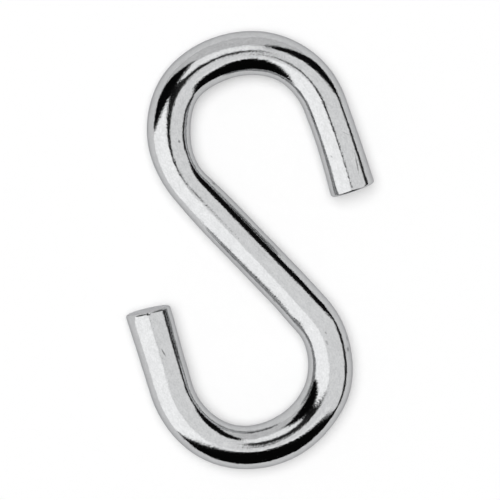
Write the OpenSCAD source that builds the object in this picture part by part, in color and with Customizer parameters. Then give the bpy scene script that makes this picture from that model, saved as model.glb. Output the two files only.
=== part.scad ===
// Open S hook, bent cold from one length of round steel wire.
// It lies flat. X runs across the hook, Y along it and Z up from the surface under it.
// The origin is on that surface, under the middle of the hook's box.
// The sizes at the top are in millimetres, and so is the finished hook.

/* [Wire] */
// Diameter of the round wire
wire_d = 5; // [2:0.5:7]
// Radius that breaks the edge of each cropped end
end_edge = 0.35; // [0.1:0.05:0.8]

/* [Hook] */
// Length over all, from the outside of one bend to the outside of the other
overall_length = 50; // [44:1:120]

/* [Top bend] */
// Inside radius of the top bend
top_inside = 6.65; // [4:0.05:9]
// Straight leg from the top bend to its cropped end
top_leg = 10.2; // [4:0.1:16]
// Angle at which the top leg opens away from the hook's length
top_splay_angle = 19.3; // [5:0.1:40]

/* [Bottom bend] */
// Inside radius of the bottom bend
bottom_inside = 6.75; // [4:0.05:9]
// Straight leg from the bottom bend to its cropped end
bottom_leg = 9.4; // [4:0.1:16]
// Angle at which the bottom leg opens away from the hook's length
bottom_splay_angle = 16.5; // [5:0.1:40]

/* [Hidden] */
$fn = 96;

// The wire is drawn in metres and enlarged to millimetres in one step at the end. Its
// stretches meet at odd angles, and this keeps the two faces at each meeting as one.
mm = 0.001;

wire_r = wire_d * mm / 2;
end_edge_r = end_edge * mm;

// Radius of each bend at the wire's centre line
top_r = top_inside * mm + wire_r;
bottom_r = bottom_inside * mm + wire_r;

// Both bends have their centre on the hook's long axis
half_length = overall_length * mm / 2;
top_y = half_length - wire_r - top_r;
bottom_y = wire_r + bottom_r - half_length;
centre_distance = top_y - bottom_y;

// The shank is the straight line that crosses between the two bends and touches both
shank_lean = asin((top_r + bottom_r) / centre_distance);
shank_length = centre_distance * cos(shank_lean);

// How far a bend and its open leg reach sideways from the long axis
function leg_end_reach(bend_r, leg_length, splay) =
    (bend_r + wire_r - end_edge_r) * cos(splay) + (leg_length - end_edge_r) * sin(splay) + end_edge_r;
function side_reach(bend_r, leg_length, splay) =
    max(bend_r + wire_r, leg_end_reach(bend_r, leg_length, splay));

// The top leg opens towards +X and the bottom leg towards -X, so this shift centres the box
top_reach = side_reach(top_r, top_leg * mm, top_splay_angle);
bottom_reach = side_reach(bottom_r, bottom_leg * mm, bottom_splay_angle);
long_axis_x = (bottom_reach - top_reach) / 2;

// Half section of a leg along +Y: a round bar whose far edge is broken by a small radius
module leg_profile(leg_length) {
    square([wire_r, leg_length - end_edge_r]);
    square([wire_r - end_edge_r, leg_length]);
    translate([wire_r - end_edge_r, leg_length - end_edge_r]) circle(r = end_edge_r);
}

// Straight leg along -Y from the origin, with its cropped end
module leg(leg_length) {
    rotate([90, 0, 0]) rotate_extrude() leg_profile(leg_length);
}

// Straight shank along -Y from the origin
module shank() {
    rotate([90, 0, 0]) cylinder(r = wire_r, h = shank_length);
}

// Bend round the origin with its open leg. The bend runs counter-clockwise from the leg,
// over the top, to where the shank leaves it along -Y on the left. It is swept from both
// ends, so that it starts square on the leg and ends square on the shank, and the two
// sweeps overlap over the top.
module open_bend(bend_r, leg_length, splay) {
    turn = 180 + shank_lean - splay;
    rotate([0, 0, 180 - turn]) {
        rotate_extrude(angle = turn - 45) translate([bend_r, 0]) circle(r = wire_r);
        translate([bend_r, 0, 0]) leg(leg_length);
    }
    rotate_extrude(start = 90, angle = 90) translate([bend_r, 0]) circle(r = wire_r);
}

// The wire with its shank upright and the top bend's centre at the origin
module upright_wire() {
    open_bend(top_r, top_leg * mm, top_splay_angle);
    translate([-top_r, 0, 0]) shank();
    translate([-top_r - bottom_r, -shank_length, 0])
        rotate([0, 0, 180]) open_bend(bottom_r, bottom_leg * mm, bottom_splay_angle);
}

module s_hook() {
    color("silver") scale(1 / mm)
        translate([long_axis_x, top_y, wire_r]) rotate([0, 0, shank_lean]) upright_wire();
}

s_hook();
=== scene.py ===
import math

import bpy
import numpy as np
from mathutils import Matrix, Vector, noise


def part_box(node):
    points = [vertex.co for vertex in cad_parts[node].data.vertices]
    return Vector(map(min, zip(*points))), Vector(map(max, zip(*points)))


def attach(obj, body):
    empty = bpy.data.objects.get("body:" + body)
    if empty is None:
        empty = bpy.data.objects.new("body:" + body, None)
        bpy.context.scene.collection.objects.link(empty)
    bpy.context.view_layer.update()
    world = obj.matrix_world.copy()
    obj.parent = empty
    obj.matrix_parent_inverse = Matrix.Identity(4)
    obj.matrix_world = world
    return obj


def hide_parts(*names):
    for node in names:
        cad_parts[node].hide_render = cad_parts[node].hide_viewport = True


# An open S hook of bright plated steel wire. It lies on a pale floor and is seen from above.
# X runs across the hook, Y along it and Z up from the floor.
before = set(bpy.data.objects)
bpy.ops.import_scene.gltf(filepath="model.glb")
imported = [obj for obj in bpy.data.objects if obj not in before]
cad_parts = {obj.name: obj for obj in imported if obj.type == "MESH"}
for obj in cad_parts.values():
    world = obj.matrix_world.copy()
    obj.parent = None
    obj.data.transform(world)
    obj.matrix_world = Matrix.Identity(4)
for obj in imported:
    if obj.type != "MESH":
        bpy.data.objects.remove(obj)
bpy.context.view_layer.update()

MM = 0.001


# ---- Sizes of the hook ----

low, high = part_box("s_hook")
WIRE_R = (high.z - low.z) / 2
HALF_LENGTH = (high.y - low.y) / 2
WIRE_Z = (high.z + low.z) / 2

# The two bends, their open legs and the broken edge of the ends, as in the CAD source
TOP_INSIDE, TOP_LEG, TOP_SPLAY = 6.65 * MM, 10.2 * MM, math.radians(19.3)
BOTTOM_INSIDE, BOTTOM_LEG, BOTTOM_SPLAY = 6.75 * MM, 9.4 * MM, math.radians(16.5)
CAD_END_EDGE = 0.35 * MM

TOP_R = TOP_INSIDE + WIRE_R
BOTTOM_R = BOTTOM_INSIDE + WIRE_R
TOP_Y = HALF_LENGTH - WIRE_R - TOP_R
BOTTOM_Y = WIRE_R + BOTTOM_R - HALF_LENGTH
SHANK_LEAN = math.asin((TOP_R + BOTTOM_R) / (TOP_Y - BOTTOM_Y))
SHANK = (TOP_Y - BOTTOM_Y) * math.cos(SHANK_LEAN)


def end_reach(bend_r, leg, splay):
    """How far an open leg's end reaches sideways from the hook's long axis."""
    from_bend = (bend_r + WIRE_R - CAD_END_EDGE) * math.cos(splay)
    from_leg = (leg - CAD_END_EDGE) * math.sin(splay)
    return from_bend + from_leg + CAD_END_EDGE


LONG_AXIS_X = (end_reach(BOTTOM_R, BOTTOM_LEG, BOTTOM_SPLAY)
               - end_reach(TOP_R, TOP_LEG, TOP_SPLAY)) / 2

# The centre line from the top leg's end to the bottom leg's: length and curvature of each stretch
TOP_TURN = math.pi + SHANK_LEAN - TOP_SPLAY
BOTTOM_TURN = math.pi + SHANK_LEAN - BOTTOM_SPLAY
STRETCHES = [
    (TOP_LEG, 0),
    (TOP_R * TOP_TURN, 1 / TOP_R),
    (SHANK, 0),
    (BOTTOM_R * BOTTOM_TURN, -1 / BOTTOM_R),
    (BOTTOM_LEG, 0),
]
WIRE_LENGTH = sum(length for length, curvature in STRETCHES)
START_HEADING = math.pi / 2 + TOP_SPLAY
START = np.array([
    LONG_AXIS_X + TOP_R * math.cos(TOP_SPLAY) + TOP_LEG * math.sin(TOP_SPLAY),
    TOP_Y + TOP_R * math.sin(TOP_SPLAY) - TOP_LEG * math.cos(TOP_SPLAY),
])


def centre_line(along):
    """Plan position (n, 2) and heading (n,) of the wire's centre at distances along it."""
    x = np.full(len(along), START[0])
    y = np.full(len(along), START[1])
    heading = np.full(len(along), START_HEADING)
    begins = 0.0
    for number, (length, curvature) in enumerate(STRETCHES):
        # The two legs run on straight past the ends of the wire
        least = -np.inf if number == 0 else 0
        most = np.inf if number == len(STRETCHES) - 1 else length
        run = np.clip(along - begins, least, most)
        if curvature:
            turned = heading + curvature * run
            x += (np.sin(turned) - np.sin(heading)) / curvature
            y -= (np.cos(turned) - np.cos(heading)) / curvature
            heading = turned
        else:
            x += run * np.cos(heading)
            y += run * np.sin(heading)
        begins += length
    return np.stack([x, y], axis=1), heading


# ---- The hook's mesh ----

AROUND = 128  # points in each ring
RING_STEP = 0.17 * MM
EDGE_RINGS = 8  # over each broken edge
FACE_RINGS = 16  # on each end face
INNERMOST_RING = 0.04  # its share of the face's radius
END_EDGE = 0.3 * MM  # a little sharper than in the CAD source
BOTTOM_END_TILT = math.tan(math.radians(3.3))  # the bottom leg was cropped a little off square
TILT_FADES = 5 * MM

# Soft waves all over: height, length and how fast they change round the wire
WAVE_HEIGHT, WAVE_LENGTH, WAVE_ROUND = 0.02 * MM, 7 * MM, 1.1

# The cropped faces are torn a little: depth, and size of a tear across the face and up it
TORN_DEPTH, TORN_ACROSS, TORN_UP = 0.05 * MM, 1.3 * MM, 0.5 * MM
TORN_PLACE = 3.0  # where in the noise the tears are taken from
TORN_RISE = 5  # they reach full depth a fifth of the radius in from the edge

# A cold bent wire is never a true arc or quite round. Each row is a place along the wire, its
# reach, how far the centre strays to its left there, how much wider the wire is to each side,
# and how much flatter it is on top, all in millimetres.
UNEVEN = [
    (0, 2.5, 0.14, 0.09, 0),
    (7, 2.8, -0.06, -0.05, 0),
    (17, 2.5, 0, -0.06, 0),
    (22.5, 7.5, 0, 0, 0.18),
    (23.5, 5.0, 0.25, 0, 0),
    (30.7, 3.0, -0.20, -0.085, 0),
    (38.5, 4.5, 0.07, 0, 0),
    (41.3, 3.6, 0, -0.23, 0),
    (62.3, 2.0, -0.12, 0.05, 0),
    (71.5, 3.0, 0.13, 0.09, 0),
    (80, 4.0, 0, 0.09, 0),
    (84, 5.5, 0.05, -0.05, 0),
    (86.8, 4.2, 0.20, 0, 0),
    (94, 3.5, 0, -0.05, 0),
    (104.5, 3.0, 0, 0.08, 0),
]
# Powers of the cosine that keep the growth to the wire's sides and the flatness off them
SIDE_POWER, TOP_POWER = 6, 4

# The bends don't lie quite flat: place along the wire, reach and height off the floor, in
# millimetres
LIFTS = [
    (28, 3.5, 0.1),
    (81, 4.5, 0.14),
    (88, 4.5, 0.13),
    (95, 5.0, 0.1),
]

# Small dents: place along the wire, angle round it from the left side over the top, radius and
# depth, in millimetres and radians
DENTS = [
    (104.75, 0.62, 0.55, 0.10),  # broken shoulder of the bottom end
    (37.1, 1.09, 0.20, 0.012),
    (99.7, 1.69, 0.22, 0.010),
    (66.4, 1.45, 0.30, 0.007),
]


def profile():
    """Distance along the wire and radius of every ring, from one end face to the other."""
    face = np.linspace(INNERMOST_RING, 1, FACE_RINGS, endpoint=False) * (WIRE_R - END_EDGE)
    corner = np.linspace(0, math.pi / 2, EDGE_RINGS + 1)
    edge_along = END_EDGE * (1 - np.cos(corner))
    edge_radius = WIRE_R - END_EDGE + END_EDGE * np.sin(corner)
    body_rings = int((WIRE_LENGTH - 2 * END_EDGE) / RING_STEP)
    body = np.linspace(END_EDGE, WIRE_LENGTH - END_EDGE, body_rings + 1)[1:-1]
    along = np.concatenate([np.zeros(FACE_RINGS), edge_along, body,
                            WIRE_LENGTH - edge_along[::-1], np.full(FACE_RINGS, WIRE_LENGTH)])
    radius = np.concatenate([face, edge_radius, np.full(len(body), WIRE_R),
                             edge_radius[::-1], face[::-1]])
    return along, radius


def bell(along, place, reach):
    """1 at a place along the wire, falling smoothly to 0 on both sides of it."""
    return np.exp(-((along / MM - place) / reach) ** 2)


def uneven(along):
    """Stray, growth, flatness and lift of the wire at distances along it.

    The centre strays to its left, the half width grows, the top is flatter and the wire lies
    higher by these amounts.
    """
    stray, growth, flatness, lift = np.zeros((4, *along.shape))
    for place, reach, shift, wider, flatter in UNEVEN:
        near = bell(along, place, reach)
        stray += shift * MM * near
        growth += wider * MM * near
        flatness += flatter * MM * near
    for place, reach, height in LIFTS:
        lift += height * MM * bell(along, place, reach)
    return stray, growth, flatness, lift


def dents(along, angle):
    """Depth of the small dents at each distance along the wire and angle round it."""
    depth = np.zeros(along.shape)
    for place, turn, size, deep in DENTS:
        off = np.hypot(along - place * MM, (angle - turn) * WIRE_R) / (size * MM)
        depth += deep * MM * np.exp(-off ** 2)
    return depth


def slow_waves(along, angle):
    """Height of the soft waves on every ring and at every angle round it."""
    waves = np.empty((len(along), len(angle)))
    for i, j in np.ndindex(waves.shape):
        place = Vector((along[i] / WAVE_LENGTH,
                        WAVE_ROUND * math.cos(angle[j]), WAVE_ROUND * math.sin(angle[j])))
        waves[i, j] = noise.noise(place)
    return waves * WAVE_HEIGHT


def face_relief(across, up):
    """How far a cropped face lies inside its end, at places on the face."""
    relief = np.empty(across.shape)
    for i in np.ndindex(across.shape):
        place = Vector((across[i] / TORN_ACROSS, up[i] / TORN_UP, TORN_PLACE))
        relief[i] = TORN_DEPTH * (0.5 + noise.noise(place))
    inside = 1 - np.hypot(across, up) / (WIRE_R - END_EDGE)
    return relief * np.clip(inside * TORN_RISE, 0, 1)


def ring_faces(rings):
    """Quads between the rings, and a fan round the middle point of each end."""
    ring = np.arange(rings - 1)[:, None] * AROUND
    here = np.arange(AROUND)[None, :]
    after = (here + 1) % AROUND
    quads = np.stack([ring + here, ring + AROUND + here, ring + AROUND + after, ring + after],
                     axis=2)
    faces = quads.reshape(-1, 4).tolist()
    first_middle, last_middle = rings * AROUND, rings * AROUND + 1
    last_ring = (rings - 1) * AROUND
    for j in range(AROUND):
        k = (j + 1) % AROUND
        faces.append((first_middle, j, k))
        faces.append((last_middle, last_ring + k, last_ring + j))
    return faces


def add_layer(mesh, name, kind, field, values):
    """Store a value at each point of a mesh, for its material to read."""
    layer = mesh.attributes.new(name, kind, "POINT")
    layer.data.foreach_set(field, values.astype(np.float32).ravel())


def add_object(name, data):
    """Put a mesh, a lamp or a camera into the scene."""
    thing = bpy.data.objects.new(name, data)
    bpy.context.scene.collection.objects.link(thing)
    return thing


def make_hook():
    along, radius = profile()
    rings = len(along)
    angle = -math.pi / 2 + np.arange(AROUND) * 2 * math.pi / AROUND
    along_grid = np.repeat(along[:, None], AROUND, axis=1)
    angle_grid = np.repeat(angle[None, :], rings, axis=0)
    share = radius[:, None] / WIRE_R
    stray, growth, flatness, lift = uneven(along_grid)
    flaws = growth * np.cos(angle_grid) ** SIDE_POWER - dents(along_grid, angle_grid)
    flaws -= np.where(np.sin(angle_grid) > 0, flatness * (1 - np.cos(angle_grid) ** TOP_POWER), 0)
    radius_grid = radius[:, None] + (flaws + slow_waves(along, angle)) * share

    across = radius_grid * np.cos(angle_grid)
    up = radius_grid * np.sin(angle_grid)
    near_bottom_end = np.clip(1 - (WIRE_LENGTH - along_grid) / TILT_FADES, 0, 1)
    along_grid = along_grid + BOTTOM_END_TILT * across * near_bottom_end
    for face, inwards in ((slice(0, FACE_RINGS), 1), (slice(rings - FACE_RINGS, rings), -1)):
        along_grid[face] += inwards * face_relief(across[face], up[face])

    centre, heading = centre_line(along_grid.ravel())
    left = np.stack([-np.sin(heading), np.cos(heading)], axis=1)
    plan = centre + left * (across + stray).ravel()[:, None]
    points = np.column_stack([plan, WIRE_Z + (up + lift).ravel()])

    middle = float(face_relief(np.zeros(1), np.zeros(1))[0])
    ends = centre_line(np.array([middle, WIRE_LENGTH - middle]))[0]
    points = np.vstack([points, [[*ends[0], WIRE_Z], [*ends[1], WIRE_Z]]])

    mesh = bpy.data.meshes.new("s_hook_wire")
    mesh.from_pydata(points.tolist(), [], ring_faces(rings))
    mesh.shade_smooth()

    # The wire as it was before bending, in millimetres, so that its texture follows the bends
    straight = np.zeros((len(points), 3), dtype=np.float32)
    straight[:-2, 0] = along_grid.ravel()
    straight[:-2, 1] = across.ravel()
    straight[:-2, 2] = up.ravel()
    straight[-1, 0] = WIRE_LENGTH
    straight /= MM
    add_layer(mesh, "straight_wire", "FLOAT_VECTOR", "vector", straight)

    cropped = np.ones(len(points))
    cropped[FACE_RINGS * AROUND:(rings - FACE_RINGS) * AROUND] = 0
    add_layer(mesh, "cropped", "FLOAT", "value", cropped)
    return add_object("s_hook_wire", mesh)


# ---- Materials ----

def new_material(name):
    material = bpy.data.materials.new(name)
    material.use_nodes = True
    material.node_tree.nodes.clear()
    return material, material.node_tree


def link(tree, from_socket, to_socket):
    tree.links.new(from_socket, to_socket)


def attribute(tree, name):
    """The values that the mesh stores under a name."""
    node = tree.nodes.new("ShaderNodeAttribute")
    node.attribute_name = name
    return node


def maths(tree, operation, *values):
    """One step of arithmetic on sockets and plain numbers."""
    node = tree.nodes.new("ShaderNodeMath")
    node.operation = operation
    for socket, value in zip(node.inputs, values):
        if isinstance(value, (int, float)):
            socket.default_value = value
        else:
            link(tree, value, socket)
    return node.outputs["Value"]


def scaled(tree, colour, factor):
    node = tree.nodes.new("ShaderNodeVectorMath")
    node.operation = "SCALE"
    link(tree, colour, node.inputs[0])
    link(tree, factor, node.inputs["Scale"])
    return node.outputs["Vector"]


def wire_noise(tree, stretch, scale, detail, roughness):
    """Noise on the straightened wire. stretch is how much longer its grain is along the wire."""
    mapping = tree.nodes.new("ShaderNodeMapping")
    mapping.inputs["Scale"].default_value = (1 / stretch, 1, 1)
    grain = tree.nodes.new("ShaderNodeTexNoise")
    grain.inputs["Scale"].default_value = scale
    grain.inputs["Detail"].default_value = detail
    grain.inputs["Roughness"].default_value = roughness
    link(tree, attribute(tree, "straight_wire").outputs["Vector"], mapping.inputs["Vector"])
    link(tree, mapping.outputs["Vector"], grain.inputs["Vector"])
    return grain.outputs["Fac"]


def bump(tree, height, depth, under=None):
    node = tree.nodes.new("ShaderNodeBump")
    node.inputs["Strength"].default_value = 1
    node.inputs["Distance"].default_value = depth
    link(tree, height, node.inputs["Height"])
    if under is not None:
        link(tree, under, node.inputs["Normal"])
    return node.outputs["Normal"]


def ramp(tree, value, stops):
    """A colour that runs from the first stop to the second as the value does."""
    node = tree.nodes.new("ShaderNodeValToRGB")
    for element, (place, colour) in zip(node.color_ramp.elements, stops):
        element.position = place
        element.color = (*colour, 1)
    link(tree, value, node.inputs["Fac"])
    return node.outputs["Color"]


def remap(tree, value, from_range, to_range):
    """A value moved from one range to another and kept inside it."""
    node = tree.nodes.new("ShaderNodeMapRange")
    for name, limits in (("From", from_range), ("To", to_range)):
        node.inputs[name + " Min"].default_value, node.inputs[name + " Max"].default_value = limits
    link(tree, value, node.inputs["Value"])
    return node.outputs["Result"]


# Noise on the wire: stretch along it, grains to the millimetre, detail and roughness
MOTTLE = (1.6, 1.6, 4, 0.6)
PEEL = (2.0, 2.4, 2, 0.4)
GRAIN = (1.3, 5.5, 3, 0.55)
DRAWN = (30, 5.0, 3, 0.5)
NOISE_RANGE = (0.3, 0.7)  # most of a noise lies in it
PEEL_DEPTH, GRAIN_DEPTH, DRAWN_DEPTH = 0.010 * MM, 0.008 * MM, 0.0015 * MM

PLATING = [(0.32, (0.49, 0.495, 0.50)), (0.68, (0.54, 0.545, 0.55))]  # place in the mottle, colour
GRAZING_TINT = (0.50, 0.50, 0.51, 1)  # duller at a grazing angle
SPECKLE = (0.94, 1.06)  # darkening and lightening by the grain
ROUGHNESS = (0.04, 0.09)

# The torn surface of the end faces: added roughness, and lightness against the drawn wire's
TORN_ROUGHNESS = 0.25
TORN_LIGHTNESS = 1.3

# Dark marks on the plating, and painted shade on the bottom end's edge: place along the wire,
# angle round it from the left side over the top, half length, half width, slant and darkness, in
# millimetres and radians
MARKS_AND_PAINTED_SHADE = [
    # The first four rows darken the bottom end's burred edge and pit. Their darkness is partly
    # painted shade and a painted dark reflection of the rounded edge.
    (104.72, 1.50, 0.15, 0.14, 0.0, 0.9),  # pit at the bottom end, its darkness painted shade
    (104.74, 2.00, 0.06, 0.85, 0.0, 0.6),  # burred edge of the bottom end, with a painted dark reflection of its rounding
    (104.74, 1.15, 0.05, 0.50, 0.0, 0.5),
    (104.30, 2.25, 0.30, 0.16, 0.0, 0.4),
    (100.1, 1.69, 0.45, 0.09, 0.20, 0.6),
    (43.8, 1.60, 0.55, 0.07, 0.0, 0.6),
    (36.9, 1.15, 0.22, 0.16, 0.4, 0.5),
    (2.9, 2.04, 1.10, 0.09, -0.13, 0.5),  # long scratch on the top leg
    (66.2, 1.62, 0.30, 0.12, 0.1, 0.3),
    (65.2, 1.50, 0.18, 0.08, 0.0, 0.3),
    (67.6, 0.60, 0.22, 0.25, 0.3, 0.5),
    (66.6, 0.45, 0.22, 0.14, 0.0, 0.45),
    (44.2, 0.45, 0.20, 0.30, 0.0, 0.5),
    (4.6, 0.98, 0.16, 0.10, 0.5, 0.25),
    (6.6, 1.95, 0.50, 0.05, 0.9, 0.18),
    (53.4, 1.25, 1.60, 0.16, 0.0, 0.10),
    (58.6, 2.55, 0.22, 0.10, 0.0, 0.5),
]
# A dark spot is at its darkest up to the first distance from its middle and gone from the second
# on, in half sizes of the spot, after the grain has added its share to the distance
SPOT_RAGGED = 1.2
SPOT_FADES = (1.1, 1.9)


def dark_spot(tree, edge, place, turn, half_length, half_width, slant, darkness):
    """1 away from a dark spot and less on it; the spots are marks on the plating and painted
    shade. edge is noise that makes its outline ragged.
    """
    radius = WIRE_R / MM
    mapping = tree.nodes.new("ShaderNodeMapping")
    mapping.vector_type = "TEXTURE"
    mapping.inputs["Location"].default_value = (
        place, radius * math.cos(turn), radius * math.sin(turn))
    mapping.inputs["Rotation"].default_value = (turn - math.pi / 2, 0, slant)
    mapping.inputs["Scale"].default_value = (half_length, half_width, 1)
    link(tree, attribute(tree, "straight_wire").outputs["Vector"], mapping.inputs["Vector"])
    distance = tree.nodes.new("ShaderNodeVectorMath")
    distance.operation = "LENGTH"
    link(tree, mapping.outputs["Vector"], distance.inputs[0])
    ragged = maths(tree, "MULTIPLY_ADD", edge, SPOT_RAGGED, distance.outputs["Value"])
    return remap(tree, ragged, SPOT_FADES, (1 - darkness, 1))


def plated_steel():
    material, tree = new_material("plated_steel")
    shader = tree.nodes.new("ShaderNodeBsdfPrincipled")
    shader.inputs["Metallic"].default_value = 1
    shader.inputs["Specular Tint"].default_value = GRAZING_TINT
    output = tree.nodes.new("ShaderNodeOutputMaterial")
    link(tree, shader.outputs["BSDF"], output.inputs["Surface"])

    peel = wire_noise(tree, *PEEL)
    grain = wire_noise(tree, *GRAIN)
    end_face = attribute(tree, "cropped").outputs["Fac"]

    colour = ramp(tree, wire_noise(tree, *MOTTLE), PLATING)
    colour = scaled(tree, colour, remap(tree, grain, NOISE_RANGE, SPECKLE))
    # Marks on the plating, and painted shade at the bottom end's edge, darken the colour
    for row in MARKS_AND_PAINTED_SHADE:
        colour = scaled(tree, colour, dark_spot(tree, grain, *row))
    colour = scaled(tree, colour, remap(tree, end_face, (0, 1), (1, TORN_LIGHTNESS)))
    link(tree, colour, shader.inputs["Base Color"])

    roughness = maths(tree, "ADD", remap(tree, peel, NOISE_RANGE, ROUGHNESS),
                      remap(tree, end_face, (0, 1), (0, TORN_ROUGHNESS)))
    link(tree, roughness, shader.inputs["Roughness"])

    normal = bump(tree, peel, PEEL_DEPTH)
    normal = bump(tree, grain, GRAIN_DEPTH, normal)
    normal = bump(tree, wire_noise(tree, *DRAWN), DRAWN_DEPTH, normal)
    link(tree, normal, shader.inputs["Normal"])
    return material


# ---- Light tent, which only the metal reflects ----

TENT_R = 0.245
TENT_STEP, TENT_TURN_STEP = 1.0, 2.0  # degrees down from the top and round
BACKDROP = 0.84  # radiance where there is no card

# Each card: radiance, softness of its edge in degrees, and its corners. A corner is a direction
# from the hook in degrees off straight up, towards +X and towards +Y. Later cards cover earlier
# ones.
CARDS = [
    ("right panel", 1.15, 6, [
        (-1, 0), (4, 20), (14, 38), (36, 40), (60, 36), (74, 24), (77, 0), (73, -28), (61, -49),
        (33, -33), (3, -24), (-5, -18), (-9, -12)]),
    ("right wall", 0.03, 2.5, [
        (74, 29), (98, 42), (100, 0), (96, -40), (80, -62), (70, -46), (72, -26), (73, 0),
        (71, 14)]),
    ("left panel", 1.56, 2, [
        (-2, 0), (-16, 6), (-31, 13), (-57, 8), (-84, 3), (-90, -10), (-86, -40), (-72, -72),
        (-54, -68), (2, -24), (-5, -19), (-9, -12), (-5, -6)]),
    ("bottom strip", 1.50, 3, [
        (-2, -16), (8, -18), (22, -23), (40, -31), (33, -33), (2.5, -25)]),
    ("top panel", 1.38, 2.5, [
        (-33, 46), (-12, 48), (8, 46), (5, 20), (0, 8), (-21, 17)]),
    ("bottom flag", 0.003, 1.3, [
        (3, -22), (20, -27), (37, -33), (56, -43), (72, -46), (84, -42), (84, -62), (60, -78),
        (34, -90), (0, -94), (-34, -92), (-60, -80), (-60, -68), (-44, -60), (-18, -43),
        (-3, -28)]),
    ("left flag", 0.003, 1.8, [
        (-30, 12), (-24, 28), (-26, 52), (-52, 51), (-70, 43), (-83, 26), (-88, 3), (-81, -1),
        (-57, 7)]),
    ("arm", 0.01, 1.5, [
        (-31, 12), (-30, 26), (-21, 20), (-12, 16), (-5, 8), (-3, 4), (2, 2.5), (3, 0),
        (1, -3.5), (-1, -5), (-4, -6), (-8, -4), (-18, 3)]),
    ("camera", 0.03, 1.7, [
        (-16, 13), (-9, 23), (1, 25), (6, 21), (4, 14), (1, 7), (-2, 3), (-8, 1)]),
    ("right flag", 0.006, 1.5, [
        (10, 37), (9, 50), (18, 56), (32, 61), (46, 65), (62, 65), (74, 60), (87, 42), (90, 28),
        (75, 28), (64, 29), (50, 32), (43, 33), (36, 36), (22, 36)]),
]


def edge_distance(x, y, corners):
    """Distance of points to a polygon's outline, negative inside it."""
    nearest = np.full(x.shape, np.inf)
    inside = np.zeros(x.shape, dtype=bool)
    for (ax, ay), (bx, by) in zip(corners, corners[1:] + corners[:1]):
        ex, ey = bx - ax, by - ay
        t = np.clip(((x - ax) * ex + (y - ay) * ey) / (ex * ex + ey * ey), 0, 1)
        nearest = np.minimum(nearest, np.hypot(x - ax - t * ex, y - ay - t * ey))
        crosses = (ay > y) != (by > y)
        with np.errstate(divide="ignore", invalid="ignore"):
            inside ^= crosses & (x < ex * (y - ay) / ey + ax)
    return np.where(inside, -nearest, nearest)


def tent_radiance(right, away):
    """Radiance of the tent in a direction, from its cards laid over the backdrop."""
    light = np.full(right.shape, BACKDROP)
    for name, radiance, soft, corners in CARDS:
        share = np.clip(0.5 - edge_distance(right, away, corners) / (2 * soft), 0, 1)
        share = share * share * (3 - 2 * share)  # eases in and out
        light += (radiance - light) * share
    return light


def make_tent():
    zenith = np.arange(TENT_STEP, 90 + TENT_STEP / 2, TENT_STEP)
    azimuth = np.arange(0, 360, TENT_TURN_STEP)
    rows, around = len(zenith), len(azimuth)
    zenith_grid, azimuth_grid = np.meshgrid(zenith, azimuth, indexing="ij")
    zenith_grid, turn = zenith_grid.ravel(), np.radians(azimuth_grid.ravel())
    right, away = zenith_grid * np.cos(turn), zenith_grid * np.sin(turn)
    tilt = np.radians(zenith_grid)
    points = TENT_R * np.column_stack([
        np.sin(tilt) * np.cos(turn), np.sin(tilt) * np.sin(turn), np.cos(tilt)])

    # One more point, at the top, comes first
    points = np.vstack([[0, 0, TENT_R], points])
    right, away = np.append(0, right), np.append(0, away)
    faces = [(0, 1 + (j + 1) % around, 1 + j) for j in range(around)]
    for i in range(rows - 1):
        row = 1 + i * around
        for j in range(around):
            k = (j + 1) % around
            faces.append((row + j, row + k, row + around + k, row + around + j))
    mesh = bpy.data.meshes.new("light_tent")
    mesh.from_pydata(points.tolist(), [], faces)
    add_layer(mesh, "radiance", "FLOAT", "value", tent_radiance(right, away))

    material, tree = new_material("light_tent")
    shader = tree.nodes.new("ShaderNodeEmission")
    output = tree.nodes.new("ShaderNodeOutputMaterial")
    link(tree, attribute(tree, "radiance").outputs["Fac"], shader.inputs["Strength"])
    link(tree, shader.outputs["Emission"], output.inputs["Surface"])
    mesh.materials.append(material)

    tent = add_object("light_tent", mesh)
    tent.visible_camera = False
    tent.visible_diffuse = False
    tent.visible_transmission = False
    tent.visible_shadow = False
    tent.visible_volume_scatter = False
    return tent


# ---- Floor, world and camera ----

FLOOR_HALF = 3.0
FLOOR_COLOUR = 0.80
WORLD_SHARE = 0.3  # of the light on the floor; the rest is the lamp's
LAMP_ANGLE = math.radians(40)
LAMP_TILT = (math.radians(-8), math.radians(-8))


def seen_directly(tree):
    """1 for the rays that show a thing as it is: to the camera, in a reflection, through glass."""
    path = tree.nodes.new("ShaderNodeLightPath")
    seen = path.outputs["Is Camera Ray"]
    for kind in ("Is Glossy Ray", "Is Transmission Ray"):
        seen = maths(tree, "MAXIMUM", seen, path.outputs[kind])
    return seen


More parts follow.
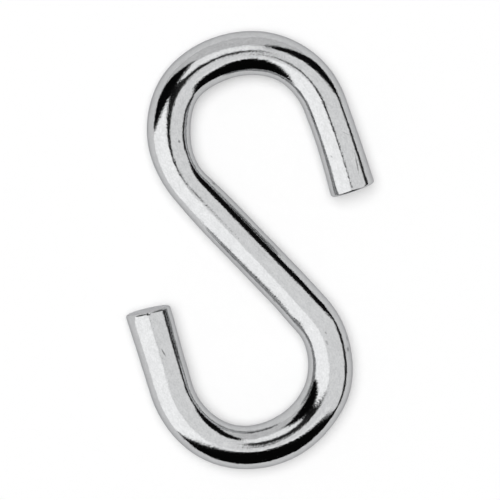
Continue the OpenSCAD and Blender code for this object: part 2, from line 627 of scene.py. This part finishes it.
def make_floor():
    mesh = bpy.data.meshes.new("floor")
    h = FLOOR_HALF
    mesh.from_pydata([(-h, -h, 0), (h, -h, 0), (h, h, 0), (-h, h, 0)], [], [(0, 1, 2, 3)])
    material, tree = new_material("pale_floor")
    diffuse = tree.nodes.new("ShaderNodeBsdfDiffuse")
    diffuse.inputs["Color"].default_value = (FLOOR_COLOUR, FLOOR_COLOUR, FLOOR_COLOUR, 1)
    # The glow lifts the lit floor to white
    glow = tree.nodes.new("ShaderNodeEmission")
    both = tree.nodes.new("ShaderNodeAddShader")
    output = tree.nodes.new("ShaderNodeOutputMaterial")
    link(tree, remap(tree, seen_directly(tree), (0, 1), (0, 1 - FLOOR_COLOUR)),
         glow.inputs["Strength"])
    link(tree, diffuse.outputs[0], both.inputs[0])
    link(tree, glow.outputs[0], both.inputs[1])
    link(tree, both.outputs[0], output.inputs["Surface"])
    mesh.materials.append(material)
    return add_object("floor", mesh)


def make_light():
    world = bpy.data.worlds.new("pale_room")
    world.use_nodes = True
    tree = world.node_tree
    background = tree.nodes["Background"]
    background.inputs["Color"].default_value = (1, 1, 1, 1)
    link(tree, remap(tree, seen_directly(tree), (0, 1), (WORLD_SHARE, 1)),
         background.inputs["Strength"])
    bpy.context.scene.world = world

    data = bpy.data.lights.new("soft_lamp", "SUN")
    data.angle = LAMP_ANGLE
    # World and lamp together light the floor so that it shows its own colour
    data.energy = math.pi * (1 - WORLD_SHARE) / (math.cos(LAMP_TILT[0]) * math.cos(LAMP_TILT[1]))
    lamp = add_object("soft_lamp", data)
    lamp.rotation_euler = (LAMP_TILT[0], LAMP_TILT[1], 0)
    lamp.visible_glossy = False


VIEW_WIDTH = 56.8 * MM
AIM = Vector((-0.09 * MM, -0.085 * MM, WIRE_Z))
CAMERA_LEAN_X, CAMERA_LEAN_Y = math.radians(-4), math.radians(5)
LENS, SENSOR = 300, 36
CLIP_START, CLIP_END = 0.01, 10


def make_camera():
    data = bpy.data.cameras.new("camera")
    data.lens, data.sensor_width = LENS, SENSOR
    data.clip_start, data.clip_end = CLIP_START, CLIP_END
    camera = add_object("camera", data)
    back = Vector((math.tan(CAMERA_LEAN_X), math.tan(CAMERA_LEAN_Y), 1)).normalized()
    right = Vector((0, 1, 0)).cross(back).normalized()
    up = back.cross(right)
    turn = Matrix((right, up, back)).transposed()
    distance = VIEW_WIDTH * LENS / SENSOR
    camera.matrix_world = Matrix.Translation(AIM + back * distance) @ turn.to_4x4()
    bpy.context.scene.camera = camera


scene = bpy.context.scene
scene.view_settings.view_transform = "Standard"

hook = make_hook()
hook.data.materials.append(plated_steel())
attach(hook, "root")
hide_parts("s_hook")

make_floor()
make_tent()
make_light()
make_camera()
